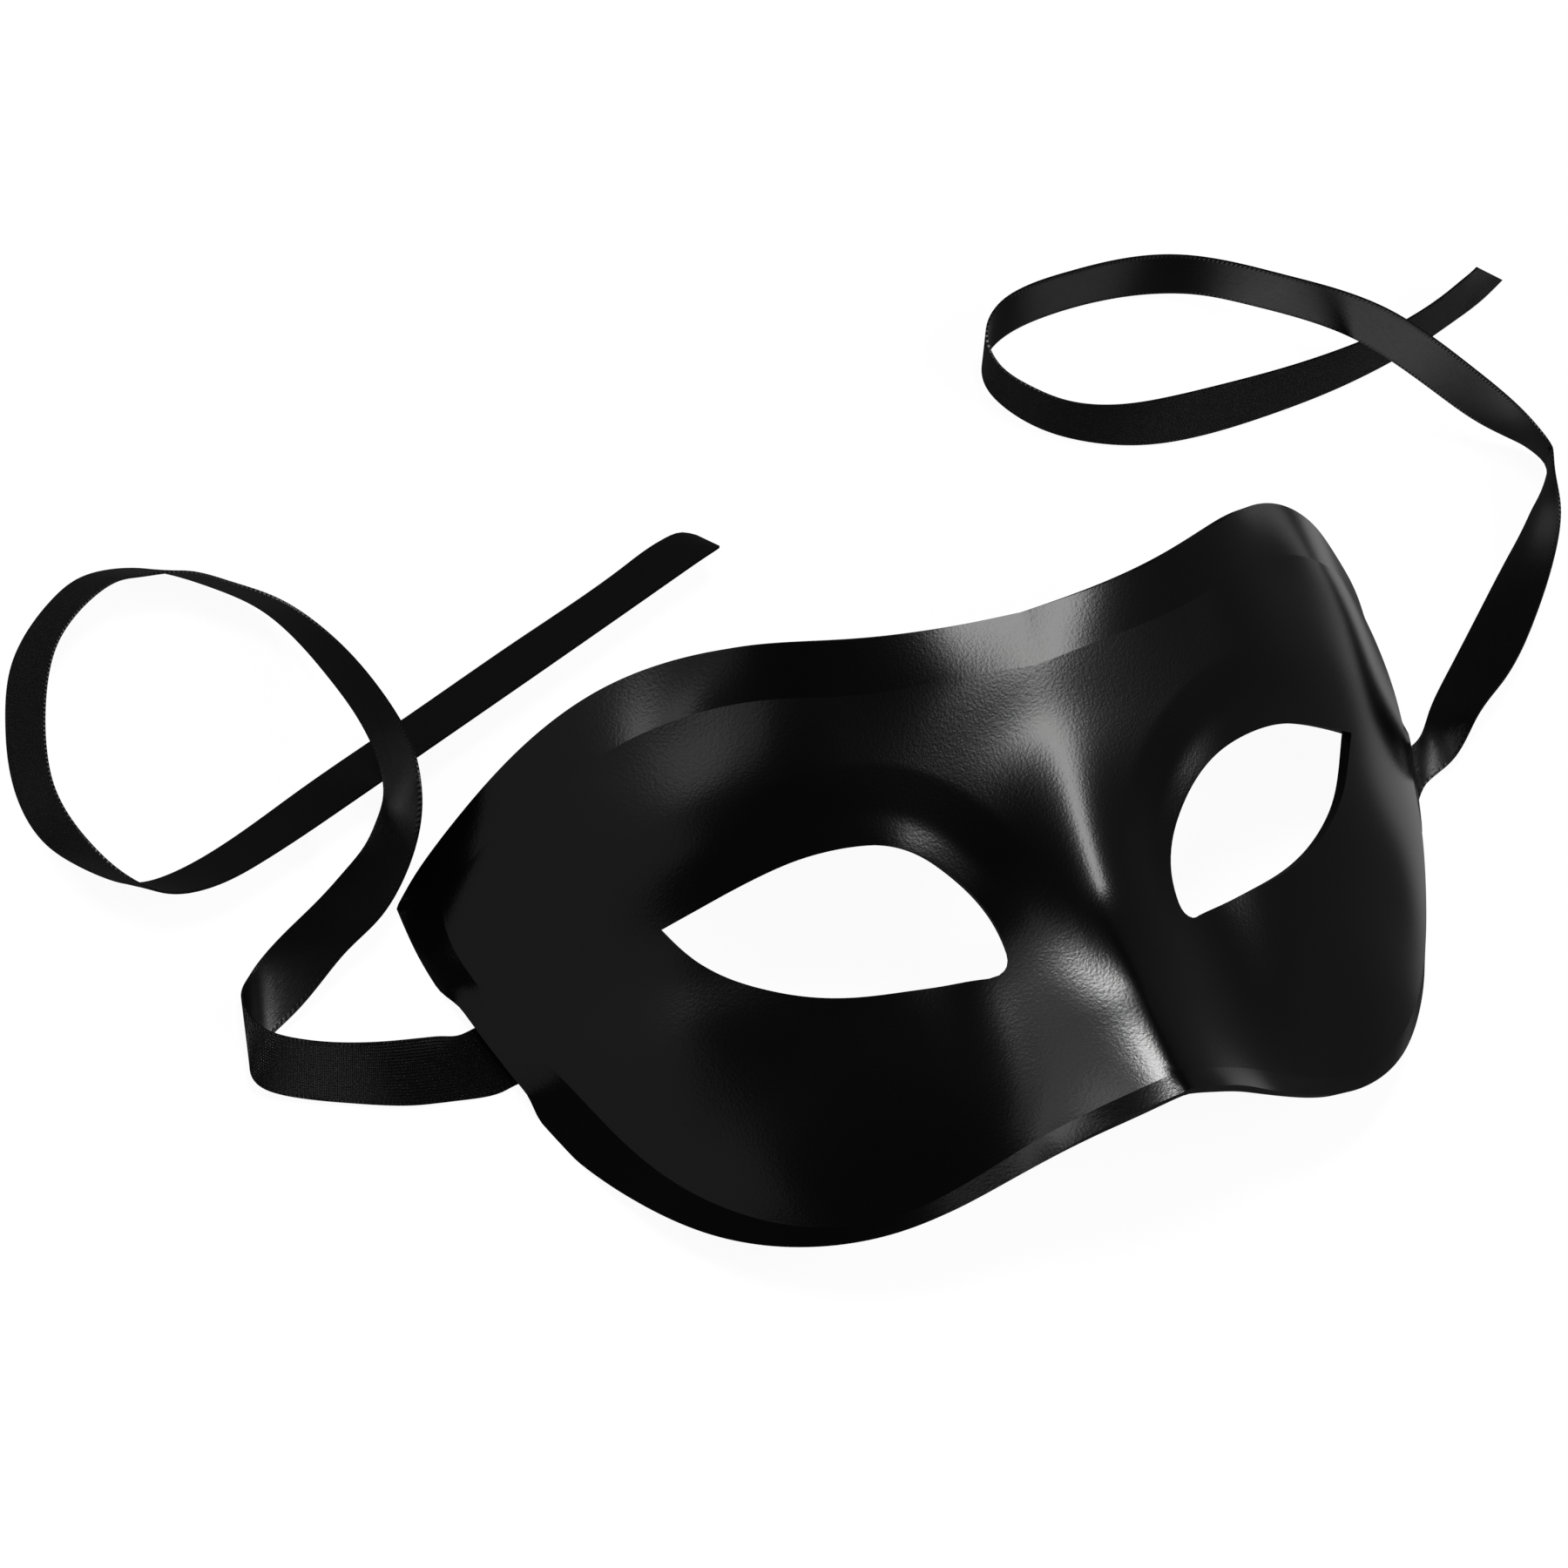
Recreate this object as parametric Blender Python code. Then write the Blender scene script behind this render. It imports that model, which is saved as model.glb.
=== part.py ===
"""A costume eye mask: one moulded shell with two eye openings, and two flat satin ribbons.

The mask lies face up on the edges of its two sides. X runs across it, Y from the
cheeks to the brow, Z up. The origin is on the floor, midway across and midway along.
Lengths are in metres unless a table says otherwise.
"""

import bpy
import bmesh
import numpy as np

# Driving sizes of the shell
MASK_WIDTH = 0.173          # from tip to tip
MASK_LENGTH = 0.0853        # cheek edge to brow edge, seen from above
MASK_RISE = 0.0471          # floor to the middle of the brow edge
WALL = 0.0016
BORDER_WIDTH = 0.0080       # flat border along the brow, at its widest
EYE_WIDTH = 0.0457
EYE_LENGTH = 0.0238
EYE_SPACING = 0.0300        # between the inner corners
EYE_INSET = 0.0288          # cheek edge to the inner corners
LID_WIDTH = 0.0045          # strip between the eye opening and the fold above it
LID_DEPTH = 0.0005
LID_START = 40.0            # degrees about the eye's centre, from its outer side over the top
LID_END = 215.0
LID_FADE = 48.0             # degrees over which the fold fades at each end
LID_BLEND = 0.40            # roundness of the fold's bottom
BROW_REACH = 0.0110         # eye opening to where the overhang has run out
RIDGE_HEIGHT = 0.0022       # sharp part of the nose ridge
RIDGE_WIDTH = 0.0070
RIDGE_ROUND = 0.0012
RIDGE_LENGTH = 0.0360       # cheek edge to where the ridge has run out, at the bridge

# Driving sizes of the ribbons
RIBBON_WIDTH = 0.0100
RIBBON_THICKNESS = 0.0010
CLEARANCE = 0.0003
ARCH_CENTRE = 0.0450        # cheek edge to the middle of the ribbons' way out
ARCH_RUNOUT = 0.0050        # length of each end of the arch over the ribbon

# Fineness of the shell's mesh: columns along each stretch, rings from eye to border
BROW_COLUMNS = 22
SIDE_COLUMNS = 28
MIDDLE_COLUMNS = 12
FACE_RINGS = 7
BORDER_RINGS = 2
RIBBON_STATIONS = 90
EYE_POINTS = 400            # points that the eye's outline is read from
CURVE_STEPS = 40            # readings between two rows of a table, to space points equally
SHARP_ANGLE = 40.0          # degrees

# Outer edge of the right half, from the middle of the brow round the tip to the nose.
# Columns: across (share of half the width), along (share of the length),
# rise (share of the rise), border (share of the border's width).
# What lies below the floor is trimmed in the floor's plane.
BROW_EDGE = [
    (0.000, 0.881, 0.999, 0.95),
    (0.160, 0.890, 1.002, 0.88),
    (0.325, 0.916, 0.978, 0.90),
    (0.465, 0.955, 0.922, 0.90),
    (0.580, 0.985, 0.803, 1.00),
    (0.695, 0.990, 0.654, 1.05),
    (0.790, 0.966, 0.505, 0.98),
    (0.865, 0.928, 0.350, 0.80),
    (0.930, 0.883, 0.201, 0.65),
    (0.975, 0.843, 0.072, 0.54),
    (1.000, 0.812, -0.015, 0.50),
]
SIDE_EDGE = [
    (1.000, 0.812, -0.015, 0.50),
    (0.996, 0.725, -0.015, 0.38),
    (0.977, 0.630, -0.015, 0.34),
    (0.951, 0.540, -0.015, 0.36),
    (0.922, 0.452, -0.015, 0.38),
    (0.882, 0.352, -0.012, 0.38),
    (0.812, 0.218, 0.057, 0.36),
    (0.722, 0.113, 0.134, 0.32),
    (0.600, 0.035, 0.247, 0.28),
    (0.465, 0.002, 0.360, 0.28),
    (0.352, 0.005, 0.459, 0.32),
    (0.235, 0.022, 0.577, 0.38),
    (0.155, 0.032, 0.682, 0.38),
    (0.080, 0.036, 0.769, 0.38),
    (0.000, 0.040, 0.830, 0.38),
]

# The right eye opening, from its outer corner over the lid and back along the cheek.
# Columns: across, from the inner corner (share of the eye's width), and along (share
# of its length).
EYE_EDGE = [
    (1.000, 0.912),
    (0.886, 0.941),
    (0.781, 0.968),
    (0.691, 0.985),
    (0.600, 0.992),
    (0.503, 0.980),
    (0.394, 0.945),
    (0.284, 0.880),
    (0.193, 0.780),
    (0.107, 0.625),
    (0.044, 0.455),
    (0.009, 0.282),
    (0.000, 0.140),
    (0.010, 0.040),
    (0.042, 0.000),
    (0.096, 0.012),
    (0.208, 0.046),
    (0.350, 0.088),
    (0.503, 0.150),
    (0.646, 0.252),
    (0.766, 0.387),
    (0.860, 0.534),
    (0.950, 0.750),
    (1.000, 0.912),
]
EYE_CENTRE = (0.500, 0.520)

# Sections across the face, from the cheeks to the brow. Columns: along (share of the
# length), then the height (share of the rise) at the stations named in ACROSS.
ACROSS = (0.000, 0.115, 0.230, 0.345, 0.460, 0.580, 0.695, 0.810, 0.925, 1.040)
SECTIONS = [
    (0.000, 0.78, 0.71, 0.57, 0.45, 0.36, 0.26, 0.12, -0.06, -0.31, -0.62),
    (0.140, 0.76, 0.70, 0.60, 0.53, 0.45, 0.36, 0.24, 0.06, -0.20, -0.52),
    (0.280, 0.76, 0.71, 0.62, 0.58, 0.52, 0.43, 0.32, 0.17, -0.08, -0.39),
    (0.420, 0.79, 0.74, 0.66, 0.63, 0.58, 0.50, 0.40, 0.26, 0.05, -0.26),
    (0.560, 0.84, 0.81, 0.77, 0.74, 0.67, 0.57, 0.46, 0.31, 0.12, -0.12),
    (0.700, 0.90, 0.89, 0.87, 0.84, 0.79, 0.70, 0.58, 0.41, 0.18, -0.08),
    (0.845, 0.99, 0.98, 0.95, 0.91, 0.86, 0.76, 0.64, 0.47, 0.20, -0.11),
    (0.990, 1.03, 1.02, 0.98, 0.95, 0.90, 0.81, 0.69, 0.45, 0.12, -0.17),
]

# Routes of the two ribbons, in millimetres from the middle of the cheeks' edge line.
# Columns: across, along and up of the edge that starts nearer the brow, then across,
# along and up of the other edge. The first rows are glued inside the side wall.
LEFT_ROUTE = [
    (-69.9, 51.4, 12.0, -67.6, 41.8, 11.9),
    (-73.5, 50.8, 8.8, -71.2, 41.2, 8.8),
    (-77.2, 50.2, 5.3, -74.9, 40.5, 5.1),
    (-79.0, 49.9, 2.6, -76.6, 40.2, 2.0),
    (-80.3, 49.6, 1.2, -78.0, 39.9, 0.8),
    (-82.0, 49.4, 0.6, -79.8, 39.7, 0.6),
    (-84.4, 49.0, 0.6, -82.2, 39.3, 0.6),
    (-88.2, 49.2, 1.8, -88.4, 39.8, 0.6),
    (-95.4, 49.5, 5.0, -96.0, 41.0, 0.8),
    (-105.8, 50.6, 8.2, -105.4, 44.0, 0.8),
    (-113.4, 53.2, 8.6, -113.0, 46.8, 1.2),
    (-117.2, 57.0, 7.0, -118.0, 49.6, 2.0),
    (-116.6, 61.6, 4.0, -118.4, 52.4, 2.2),
    (-113.6, 64.8, 1.4, -115.6, 55.0, 1.6),
    (-109.8, 67.4, 0.8, -109.0, 58.2, 3.6),
    (-103.9, 70.5, 1.0, -100.5, 63.5, 7.3),
    (-98.1, 73.3, 2.5, -94.2, 66.6, 9.0),
    (-93.9, 75.7, 4.5, -90.4, 70.0, 11.9),
    (-90.7, 77.9, 6.7, -87.6, 74.4, 15.5),
    (-88.5, 80.6, 8.9, -86.2, 78.9, 18.5),
    (-87.0, 83.0, 10.0, -85.7, 82.4, 19.9),
    (-85.7, 86.4, 9.7, -85.0, 86.2, 19.7),
    (-84.5, 92.1, 8.0, -84.5, 92.1, 18.0),
    (-84.3, 97.2, 6.4, -84.8, 97.2, 16.4),
    (-84.8, 103.2, 4.4, -85.7, 103.1, 14.4),
    (-86.2, 110.2, 2.4, -87.9, 109.7, 12.2),
    (-89.3, 116.8, 1.1, -91.5, 115.1, 10.7),
    (-95.0, 121.9, 0.7, -97.0, 119.2, 10.1),
    (-101.1, 125.7, 0.6, -102.6, 122.3, 9.9),
    (-108.7, 128.0, 0.6, -109.5, 123.5, 9.5),
    (-113.8, 128.0, 0.6, -112.9, 123.7, 9.6),
    (-119.5, 125.8, 0.6, -117.7, 122.3, 9.8),
    (-124.5, 122.5, 0.6, -122.3, 119.8, 10.0),
    (-128.7, 118.5, 0.6, -126.1, 116.7, 10.1),
    (-133.2, 110.2, 0.6, -131.0, 109.3, 10.3),
    (-135.6, 101.6, 0.6, -134.1, 101.3, 10.5),
    (-135.7, 96.5, 0.6, -134.9, 96.6, 10.6),
    (-134.4, 91.9, 0.6, -134.4, 91.9, 10.6),
    (-131.4, 88.0, 0.6, -132.6, 86.9, 10.5),
    (-127.8, 84.9, 0.6, -129.7, 82.3, 10.1),
    (-123.8, 82.8, 0.6, -124.6, 78.3, 9.5),
    (-119.0, 82.6, 0.6, -118.2, 77.3, 9.1),
    (-110.0, 84.4, 0.6, -108.5, 78.9, 8.8),
    (-94.3, 89.5, 0.6, -92.5, 83.6, 8.5),
    (-75.0, 95.5, 0.6, -73.2, 89.6, 8.5),
    (-52.7, 102.5, 0.6, -50.8, 96.6, 8.5),
    (-30.8, 109.4, 0.6, -29.0, 103.5, 8.5),
    (-22.4, 112.0, 0.6, -21.6, 105.8, 8.5),
    (-19.6, 112.1, 0.8, -20.2, 106.2, 8.5),
    (-17.9, 111.0, 1.4, -19.2, 106.5, 8.5),
]
RIGHT_ROUTE = [
    (69.9, 51.4, 12.0, 67.6, 41.8, 11.9),
    (73.5, 50.8, 8.8, 71.2, 41.2, 8.8),
    (77.2, 50.2, 5.3, 74.9, 40.5, 5.1),
    (79.0, 50.1, 2.6, 76.7, 40.4, 2.0),
    (80.3, 50.2, 1.2, 78.0, 40.5, 0.8),
    (82.0, 50.5, 0.6, 79.8, 40.8, 0.6),
    (85.0, 51.1, 0.6, 84.0, 44.4, 0.6),
    (87.4, 52.4, 0.6, 88.6, 46.4, 2.8),
    (90.6, 55.6, 0.6, 93.0, 50.8, 7.2),
    (96.2, 60.3, 0.6, 100.0, 55.2, 7.9),
    (106.7, 68.6, 0.6, 110.4, 64.0, 8.7),
    (114.6, 74.8, 0.6, 117.0, 71.8, 9.8),
    (120.4, 79.3, 0.6, 121.0, 78.8, 10.6),
    (125.0, 83.0, 0.6, 123.2, 85.2, 10.2),
    (128.0, 85.6, 0.6, 124.6, 88.4, 9.6),
    (128.9, 87.8, 0.6, 124.2, 88.2, 9.4),
    (127.6, 90.2, 1.0, 124.2, 87.8, 10.0),
    (123.9, 92.7, 2.4, 122.2, 90.4, 12.0),
    (117.8, 96.0, 4.6, 117.6, 95.6, 14.6),
    (110.2, 101.0, 8.2, 110.5, 101.4, 18.2),
    (103.0, 106.9, 11.0, 103.4, 107.4, 21.0),
    (98.0, 112.0, 11.2, 98.4, 112.5, 21.2),
    (92.8, 117.6, 8.8, 93.2, 118.1, 18.8),
    (87.0, 123.4, 4.8, 87.4, 123.9, 14.8),
    (81.0, 127.5, 2.6, 81.4, 128.4, 12.5),
    (74.6, 129.9, 1.2, 75.0, 131.7, 11.0),
    (64.6, 131.2, 0.6, 64.8, 133.7, 10.3),
    (55.0, 131.0, 0.6, 54.8, 133.8, 10.2),
    (47.6, 129.9, 0.6, 46.6, 133.2, 10.0),
    (42.8, 128.0, 0.6, 40.6, 131.2, 9.8),
    (40.2, 125.4, 0.6, 37.0, 127.2, 9.9),
    (39.6, 122.4, 0.6, 36.9, 122.4, 10.2),
    (41.0, 118.9, 0.6, 39.9, 118.2, 10.5),
    (45.0, 114.5, 0.6, 44.9, 114.4, 10.6),
    (52.0, 110.4, 0.6, 52.6, 111.8, 10.5),
    (61.0, 107.6, 0.6, 61.6, 111.0, 10.0),
    (72.0, 106.6, 0.6, 72.0, 110.9, 9.6),
    (84.0, 107.0, 0.6, 83.7, 110.9, 9.8),
    (97.0, 108.2, 0.6, 96.6, 111.6, 10.0),
    (108.0, 110.0, 0.6, 107.4, 113.1, 10.1),
    (118.0, 112.4, 0.6, 117.1, 115.7, 10.0),
    (124.0, 114.2, 0.6, 121.2, 117.2, 9.9),
    (130.0, 116.2, 0.6, 123.6, 118.1, 9.9),
    (135.4, 118.6, 0.6, 125.2, 118.8, 9.9),
]

SHELL_COLOUR = (0.010, 0.010, 0.011)
SHELL_ROUGHNESS = 0.25
RIBBON_COLOUR = (0.012, 0.012, 0.013)
RIBBON_ROUGHNESS = 0.40

MILLIMETRE = 0.001
MERGE_DISTANCE = 0.00001    # between the two halves' points in the middle plane
HALF_WIDTH = MASK_WIDTH / 2
MIDDLE_SHARE = 0.4964       # cheek edge to the origin, as a share of the length
MIDDLE = np.array((0.0, MASK_LENGTH * MIDDLE_SHARE, 0.0))      # the origin, from the cheeks' edge line


def cubic(knots, values, at):
    """Natural cubic spline: column j of values, over the knots, read at at[j]."""
    knots = np.asarray(knots, float)
    count = len(knots)
    step = np.diff(knots)
    matrix = np.eye(count)
    target = np.zeros(values.shape)
    slope = np.diff(values, axis=0) / step[:, None]
    for row in range(1, count - 1):
        matrix[row, row - 1:row + 2] = step[row - 1], 2 * (step[row - 1] + step[row]), step[row]
        target[row] = 6 * (slope[row] - slope[row - 1])
    bend = np.linalg.solve(matrix, target)
    span = np.clip(np.searchsorted(knots, at) - 1, 0, count - 2)
    column = np.arange(len(at))
    width = step[span]
    before = at - knots[span]
    after = knots[span + 1] - at
    return (
        (bend[span, column] * after**3 + bend[span + 1, column] * before**3) / (6 * width)
        + (values[span, column] / width - bend[span, column] * width / 6) * after
        + (values[span + 1, column] / width - bend[span + 1, column] * width / 6) * before
    )


def curve(points, count):
    """Smooth curve through the points, at count places equally spaced along it."""
    points = np.asarray(points, float)
    knots = np.r_[0, np.cumsum(np.linalg.norm(np.diff(points, axis=0), axis=1))]

    def read(places):
        columns = [cubic(knots, np.tile(column[:, None], len(places)), places) for column in points.T]
        return np.stack(columns, axis=1)

    fine = np.linspace(0, knots[-1], CURVE_STEPS * len(points))
    length = np.r_[0, np.cumsum(np.linalg.norm(np.diff(read(fine), axis=0), axis=1))]
    return read(np.interp(np.linspace(0, length[-1], count), length, fine))


def smooth_step(value):
    value = np.clip(value, 0, 1)
    return value * value * (3 - 2 * value)


EYE_ORIGIN = np.array((EYE_SPACING / 2, EYE_INSET))
EYE_SIZE = np.array((EYE_WIDTH, EYE_LENGTH))
EYE_MIDDLE = EYE_ORIGIN + np.array(EYE_CENTRE) * EYE_SIZE
EYE_OUTLINE = curve(EYE_ORIGIN + np.array(EYE_EDGE) * EYE_SIZE, EYE_POINTS)


def eye_reach(direction):
    """Distance from the eye's centre to its edge, for angles seen from above."""
    offset = EYE_OUTLINE - EYE_MIDDLE
    angle = np.arctan2(offset[:, 1], offset[:, 0])
    order = np.argsort(angle)
    return np.interp(direction, angle[order], np.linalg.norm(offset, axis=1)[order], period=2 * np.pi)


def lid_fold(x, y):
    """Depth of the fold between the lid and the brow's overhang."""
    side, forward = x - EYE_MIDDLE[0], y - EYE_MIDDLE[1]
    angle = np.arctan2(forward, side)
    distance = np.hypot(side, forward) - eye_reach(angle)
    rising = distance / LID_WIDTH
    falling = (BROW_REACH - distance) / (BROW_REACH - LID_WIDTH)
    dent = 0.5 * (rising + falling - np.sqrt((rising - falling) ** 2 + LID_BLEND**2))
    turn = np.degrees(np.mod(angle, 2 * np.pi))
    window = smooth_step((turn - LID_START) / LID_FADE) * smooth_step((LID_END - turn) / LID_FADE)
    return LID_DEPTH * np.maximum(dent, 0) * window


def face_height(x, y):
    """Height of the outer face above the floor. It is the same on both halves."""
    x = np.abs(x)
    stations = np.array(ACROSS) * HALF_WIDTH
    stations = np.r_[-stations[:0:-1], stations]
    rows = []
    for _, *heights in SECTIONS:
        heights = np.array(heights)
        values = np.r_[heights[:0:-1], heights]
        rows.append(cubic(stations, np.tile(values[:, None], len(x)), x))
    along = np.array([row[0] for row in SECTIONS]) * MASK_LENGTH
    height = cubic(along, np.array(rows), y) * MASK_RISE
    from_ridge = np.sqrt(x**2 + RIDGE_ROUND**2) - RIDGE_ROUND
    fade = smooth_step((RIDGE_LENGTH - y) / (RIDGE_LENGTH / 2))
    return height + RIDGE_HEIGHT * np.exp(-from_ridge / RIDGE_WIDTH) * fade - lid_fold(x, y)


def trim_height(x, y):
    """Lowest height of the shell: the floor, with an arch in each side edge over the ribbon."""
    lift = RIBBON_THICKNESS + 4 * CLEARANCE
    flat = RIBBON_WIDTH / 2 + 6 * CLEARANCE
    arch = lift * smooth_step((flat + ARCH_RUNOUT - np.abs(y - ARCH_CENTRE)) / ARCH_RUNOUT)
    return np.where(x > HALF_WIDTH / 2, arch, 0)


def edge_columns(table, count):
    """Outer edge and border width at equally spaced places along one stretch."""
    size = np.array((HALF_WIDTH, MASK_LENGTH, MASK_RISE, BORDER_WIDTH))
    columns = curve(np.array(table) * size, count)
    edge, border = columns[:, :3], columns[:, 3]
    edge[:, 2] = np.maximum(edge[:, 2], trim_height(edge[:, 0], edge[:, 1]))
    along = np.gradient(edge[:, :2], axis=0)
    inward = np.stack((along[:, 1], -along[:, 0]), axis=1) / np.linalg.norm(along, axis=1)[:, None]
    return edge, border, inward


def outer_face():
    """The half shell's outer face as a grid: one row of points for each column."""
    brow_edge, brow_border, brow_inward = edge_columns(BROW_EDGE, BROW_COLUMNS + 1)
    side_edge, side_border, side_inward = edge_columns(SIDE_EDGE, SIDE_COLUMNS + 1)
    for inward, end in ((brow_inward, 0), (side_inward, -1)):
        inward[end, 0] = 0
        inward[end] /= np.linalg.norm(inward[end])
    corner = brow_inward[-1] + side_inward[0]
    brow_inward[-1] = corner / (1 + brow_inward[-1] @ side_inward[0])
    edge = np.vstack((brow_edge, side_edge[1:]))
    border = np.r_[brow_border, side_border[1:]]
    inward = np.vstack((brow_inward, side_inward[1:]))
    crease = edge[:, :2] + inward * border[:, None]
    middle = np.linspace(crease[-1], crease[0], MIDDLE_COLUMNS + 1)[1:-1]
    outer = np.vstack((crease, middle))

    ray = outer - EYE_MIDDLE
    reach = eye_reach(np.arctan2(ray[:, 1], ray[:, 0]))[:, None]
    inner = EYE_MIDDLE + ray / np.linalg.norm(ray, axis=1)[:, None] * reach
    nearest = np.argmin(np.linalg.norm(inner - EYE_OUTLINE[0], axis=1))
    inner[nearest] = EYE_OUTLINE[0]

    share = np.linspace(0, 1, FACE_RINGS + 1)[None, :, None]
    plan = inner[:, None] + (outer - inner)[:, None] * share
    height = face_height(plan[..., 0].ravel(), plan[..., 1].ravel()).reshape(plan.shape[:2])
    face = np.dstack((plan, height))

    share = np.linspace(0, 1, BORDER_RINGS + 1)[None, 1:, None]
    crease_points = face[:len(edge), -1]
    strip = crease_points[:, None] + (edge - crease_points)[:, None] * share
    return face, strip


def grid_normals(face, strip):
    """Outward normals of the face and the border, column by column."""
    around = np.roll(face, -1, axis=0) - np.roll(face, 1, axis=0)
    face_normal = np.cross(around, np.gradient(face, axis=1))
    whole = np.concatenate((face[:len(strip), -1:], strip), axis=1)
    strip_normal = np.cross(np.gradient(whole, axis=0), np.gradient(whole, axis=1))[:, 1:]
    for points, normal in ((face, face_normal), (strip, strip_normal)):
        normal[np.abs(points[..., 0]) < MERGE_DISTANCE / 2, 0] = 0
        normal /= np.linalg.norm(normal, axis=2)[..., None]
    return face_normal, strip_normal


def shell_half():
    """Points and faces of the right half: outer face, inner face and the wall's edges."""
    face, strip = outer_face()
    face_normal, strip_normal = grid_normals(face, strip)
    inner_face = face - face_normal * WALL
    inner_strip = strip - strip_normal * WALL
    lowest = trim_height(inner_strip[..., 0], inner_strip[..., 1])
    inner_strip[..., 2] = np.maximum(inner_strip[..., 2], lowest)

    columns, rings = face.shape[:2]
    strip_columns, strip_rings = strip.shape[:2]
    layer = columns * rings + strip_columns * strip_rings
    points = np.vstack([grid.reshape(-1, 3) for grid in (face, strip, inner_face, inner_strip)])

    def at(column, ring):
        """Number of a point on the outer face. Rings past the face's last are the border's."""
        if ring < rings:
            return column % columns * rings + ring
        return columns * rings + column * strip_rings + ring - rings

    faces = []
    for column in range(columns):
        last = rings - 1 + strip_rings * (column < strip_columns - 1)
        for ring in range(last):
            a, b = at(column, ring), at(column + 1, ring)
            c, d = at(column + 1, ring + 1), at(column, ring + 1)
            faces += [(a, b, c, d), (a + layer, d + layer, c + layer, b + layer)]
        a, b = at(column, 0), at(column + 1, 0)
        faces.append((b, a, a + layer, b + layer))
        if column < strip_columns - 1:
            a, b = at(column, last), at(column + 1, last)
            faces.append((a, b, b + layer, a + layer))
    return points - MIDDLE, faces


def new_object(name, mesh, colour, roughness):
    mesh.shade_smooth()
    mesh.set_sharp_from_angle(angle=np.radians(SHARP_ANGLE))
    material = bpy.data.materials.new(name)
    material.use_nodes = True
    surface = material.node_tree.nodes["Principled BSDF"]
    surface.inputs["Base Color"].default_value = (*colour, 1)
    surface.inputs["Roughness"].default_value = roughness
    mesh.materials.append(material)
    piece = bpy.data.objects.new(name, mesh)
    bpy.context.scene.collection.objects.link(piece)
    return piece


def make_shell():
    points, faces = shell_half()
    mesh = bpy.data.meshes.new("mask_shell")
    mesh.from_pydata(points.tolist(), [], faces)
    shell = new_object("mask_shell", mesh, SHELL_COLOUR, SHELL_ROUGHNESS)
    mirror = shell.modifiers.new("other half", "MIRROR")
    mirror.use_axis = (True, False, False)
    mirror.merge_threshold = MERGE_DISTANCE
    return shell


def make_ribbon(name, route):
    """A flat strip whose two long edges follow the route."""
    stations = curve(np.array(route) * MILLIMETRE, RIBBON_STATIONS)
    first, second = stations[:, :3] - MIDDLE, stations[:, 3:] - MIDDLE
    centre = (first + second) / 2
    run = np.gradient(centre, axis=0)
    run /= np.linalg.norm(run, axis=1)[:, None]
    width = second - first
    width -= np.sum(width * run, axis=1)[:, None] * run
    width *= RIBBON_WIDTH / 2 / np.linalg.norm(width, axis=1)[:, None]
    depth = np.cross(run, width)
    depth *= RIBBON_THICKNESS / 2 / np.linalg.norm(depth, axis=1)[:, None]
    lowest = centre[:, 2] - np.abs(width[:, 2]) - np.abs(depth[:, 2])
    centre[:, 2] -= np.minimum(lowest, 0)

    shape = bmesh.new()
    sections = []
    for corners in zip(centre - width - depth, centre + width - depth,
                       centre + width + depth, centre - width + depth):
        sections.append([shape.verts.new(corner) for corner in corners])
    for one, other in zip(sections, sections[1:]):
        for side in range(4):
            following = (side + 1) % 4
            shape.faces.new((one[side], one[following], other[following], other[side]))
    shape.faces.new(sections[0][::-1])
    shape.faces.new(sections[-1])
    bmesh.ops.recalc_face_normals(shape, faces=shape.faces)
    mesh = bpy.data.meshes.new(name)
    shape.to_mesh(mesh)
    shape.free()
    return new_object(name, mesh, RIBBON_COLOUR, RIBBON_ROUGHNESS)


def main():
    for item in list(bpy.data.objects):
        bpy.data.objects.remove(item)
    make_shell()
    make_ribbon("ribbon_left", LEFT_ROUTE)
    make_ribbon("ribbon_right", RIGHT_ROUTE)


main()
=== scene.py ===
"""Looks of the costume eye mask: gloss black shell and satin ribbons.

Lengths are in metres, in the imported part's frame, unless a comment says otherwise. The
shell and the ribbons follow the same sizes and tables as the part's source.
"""

import bpy
import numpy as np
from mathutils import Matrix, Vector


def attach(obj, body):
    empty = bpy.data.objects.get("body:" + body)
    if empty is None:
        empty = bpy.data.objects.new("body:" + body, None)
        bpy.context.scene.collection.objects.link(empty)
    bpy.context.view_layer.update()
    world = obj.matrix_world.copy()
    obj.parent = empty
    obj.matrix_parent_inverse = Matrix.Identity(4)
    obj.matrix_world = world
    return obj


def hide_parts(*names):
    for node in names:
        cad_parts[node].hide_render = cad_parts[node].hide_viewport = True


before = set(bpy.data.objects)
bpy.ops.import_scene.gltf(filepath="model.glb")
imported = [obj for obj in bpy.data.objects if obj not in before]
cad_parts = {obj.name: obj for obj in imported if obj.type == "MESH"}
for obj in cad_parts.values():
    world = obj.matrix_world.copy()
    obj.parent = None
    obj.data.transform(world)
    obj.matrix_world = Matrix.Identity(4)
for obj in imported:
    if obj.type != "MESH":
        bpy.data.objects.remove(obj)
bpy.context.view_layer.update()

# Sizes of the shell
MASK_WIDTH = 0.173          # from tip to tip
MASK_LENGTH = 0.0853        # cheek edge to brow edge, seen from above
MASK_RISE = 0.0471          # floor to the middle of the brow edge
WALL = 0.0016
BORDER_WIDTH = 0.0080       # flat border along the brow, at its widest
EYE_WIDTH = 0.0457
EYE_LENGTH = 0.0238
EYE_SPACING = 0.0300        # between the inner corners
EYE_INSET = 0.0288          # cheek edge to the inner corners
LID_WIDTH = 0.0045          # strip between the eye opening and the fold above it
LID_DEPTH = 0.0005
LID_START = 40.0            # degrees about the eye's centre, from its outer side over the top
LID_END = 215.0
LID_FADE = 48.0             # degrees over which the fold fades at each end
LID_BLEND = 0.40            # roundness of the fold's bottom
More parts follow.
